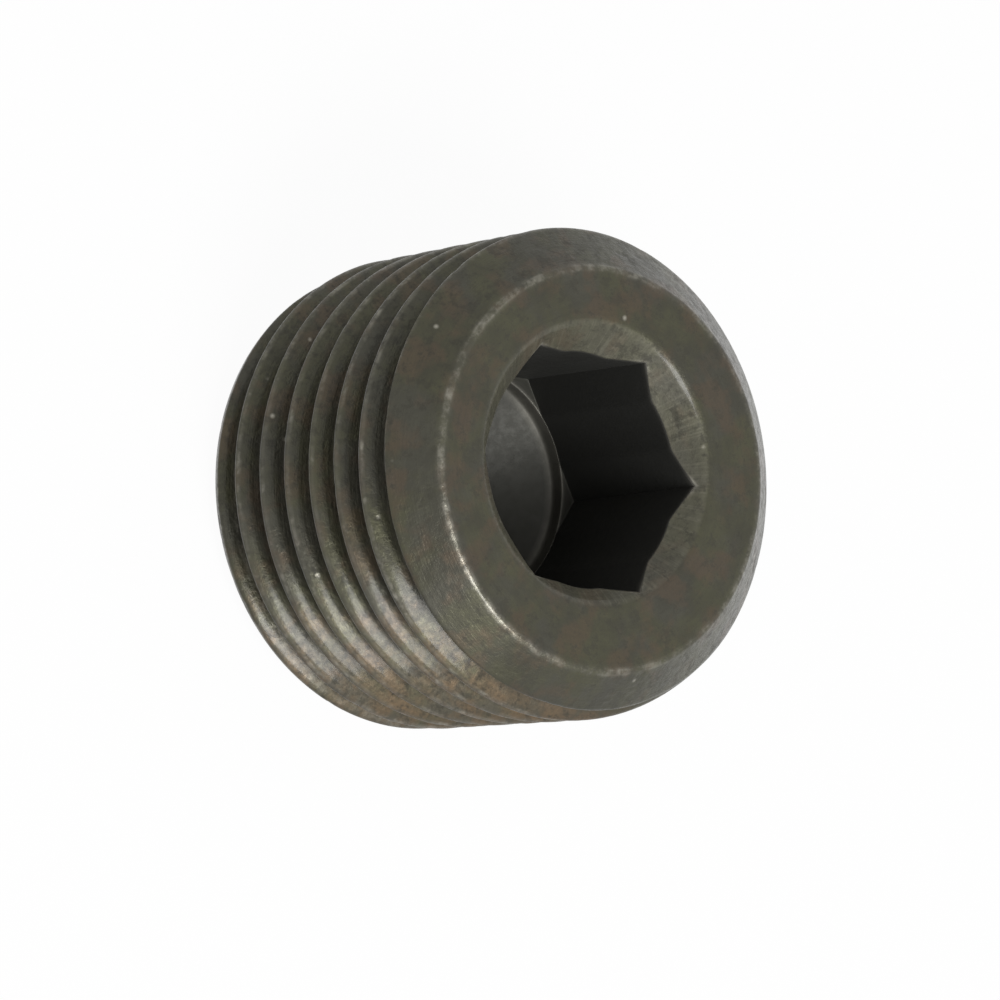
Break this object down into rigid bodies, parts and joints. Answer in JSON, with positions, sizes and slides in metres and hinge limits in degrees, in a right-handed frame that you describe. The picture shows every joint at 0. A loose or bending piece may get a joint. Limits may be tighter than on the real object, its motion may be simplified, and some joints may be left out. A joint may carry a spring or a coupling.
{
  "type": "taper pipe plug with hexagon socket",
  "caption": "Short steel pipe plug: taper thread outside, chamfered flat head with a countersunk blind hexagon socket, plain flat small end.",
  "frame": {"origin": "centre of the small end face, on the axis of the thread", "axes": "+Z along the axis, out of the socket; a corner of the hexagon lies on the +X side"},
  "size_m": [0.0212, 0.0212, 0.015],
  "materials": {
    "steel": "dark oiled oxide, satin, slightly mottled"
  },
  "bodies": {
    "root": {"plug_body": "steel"}
  },
  "joints": []
}
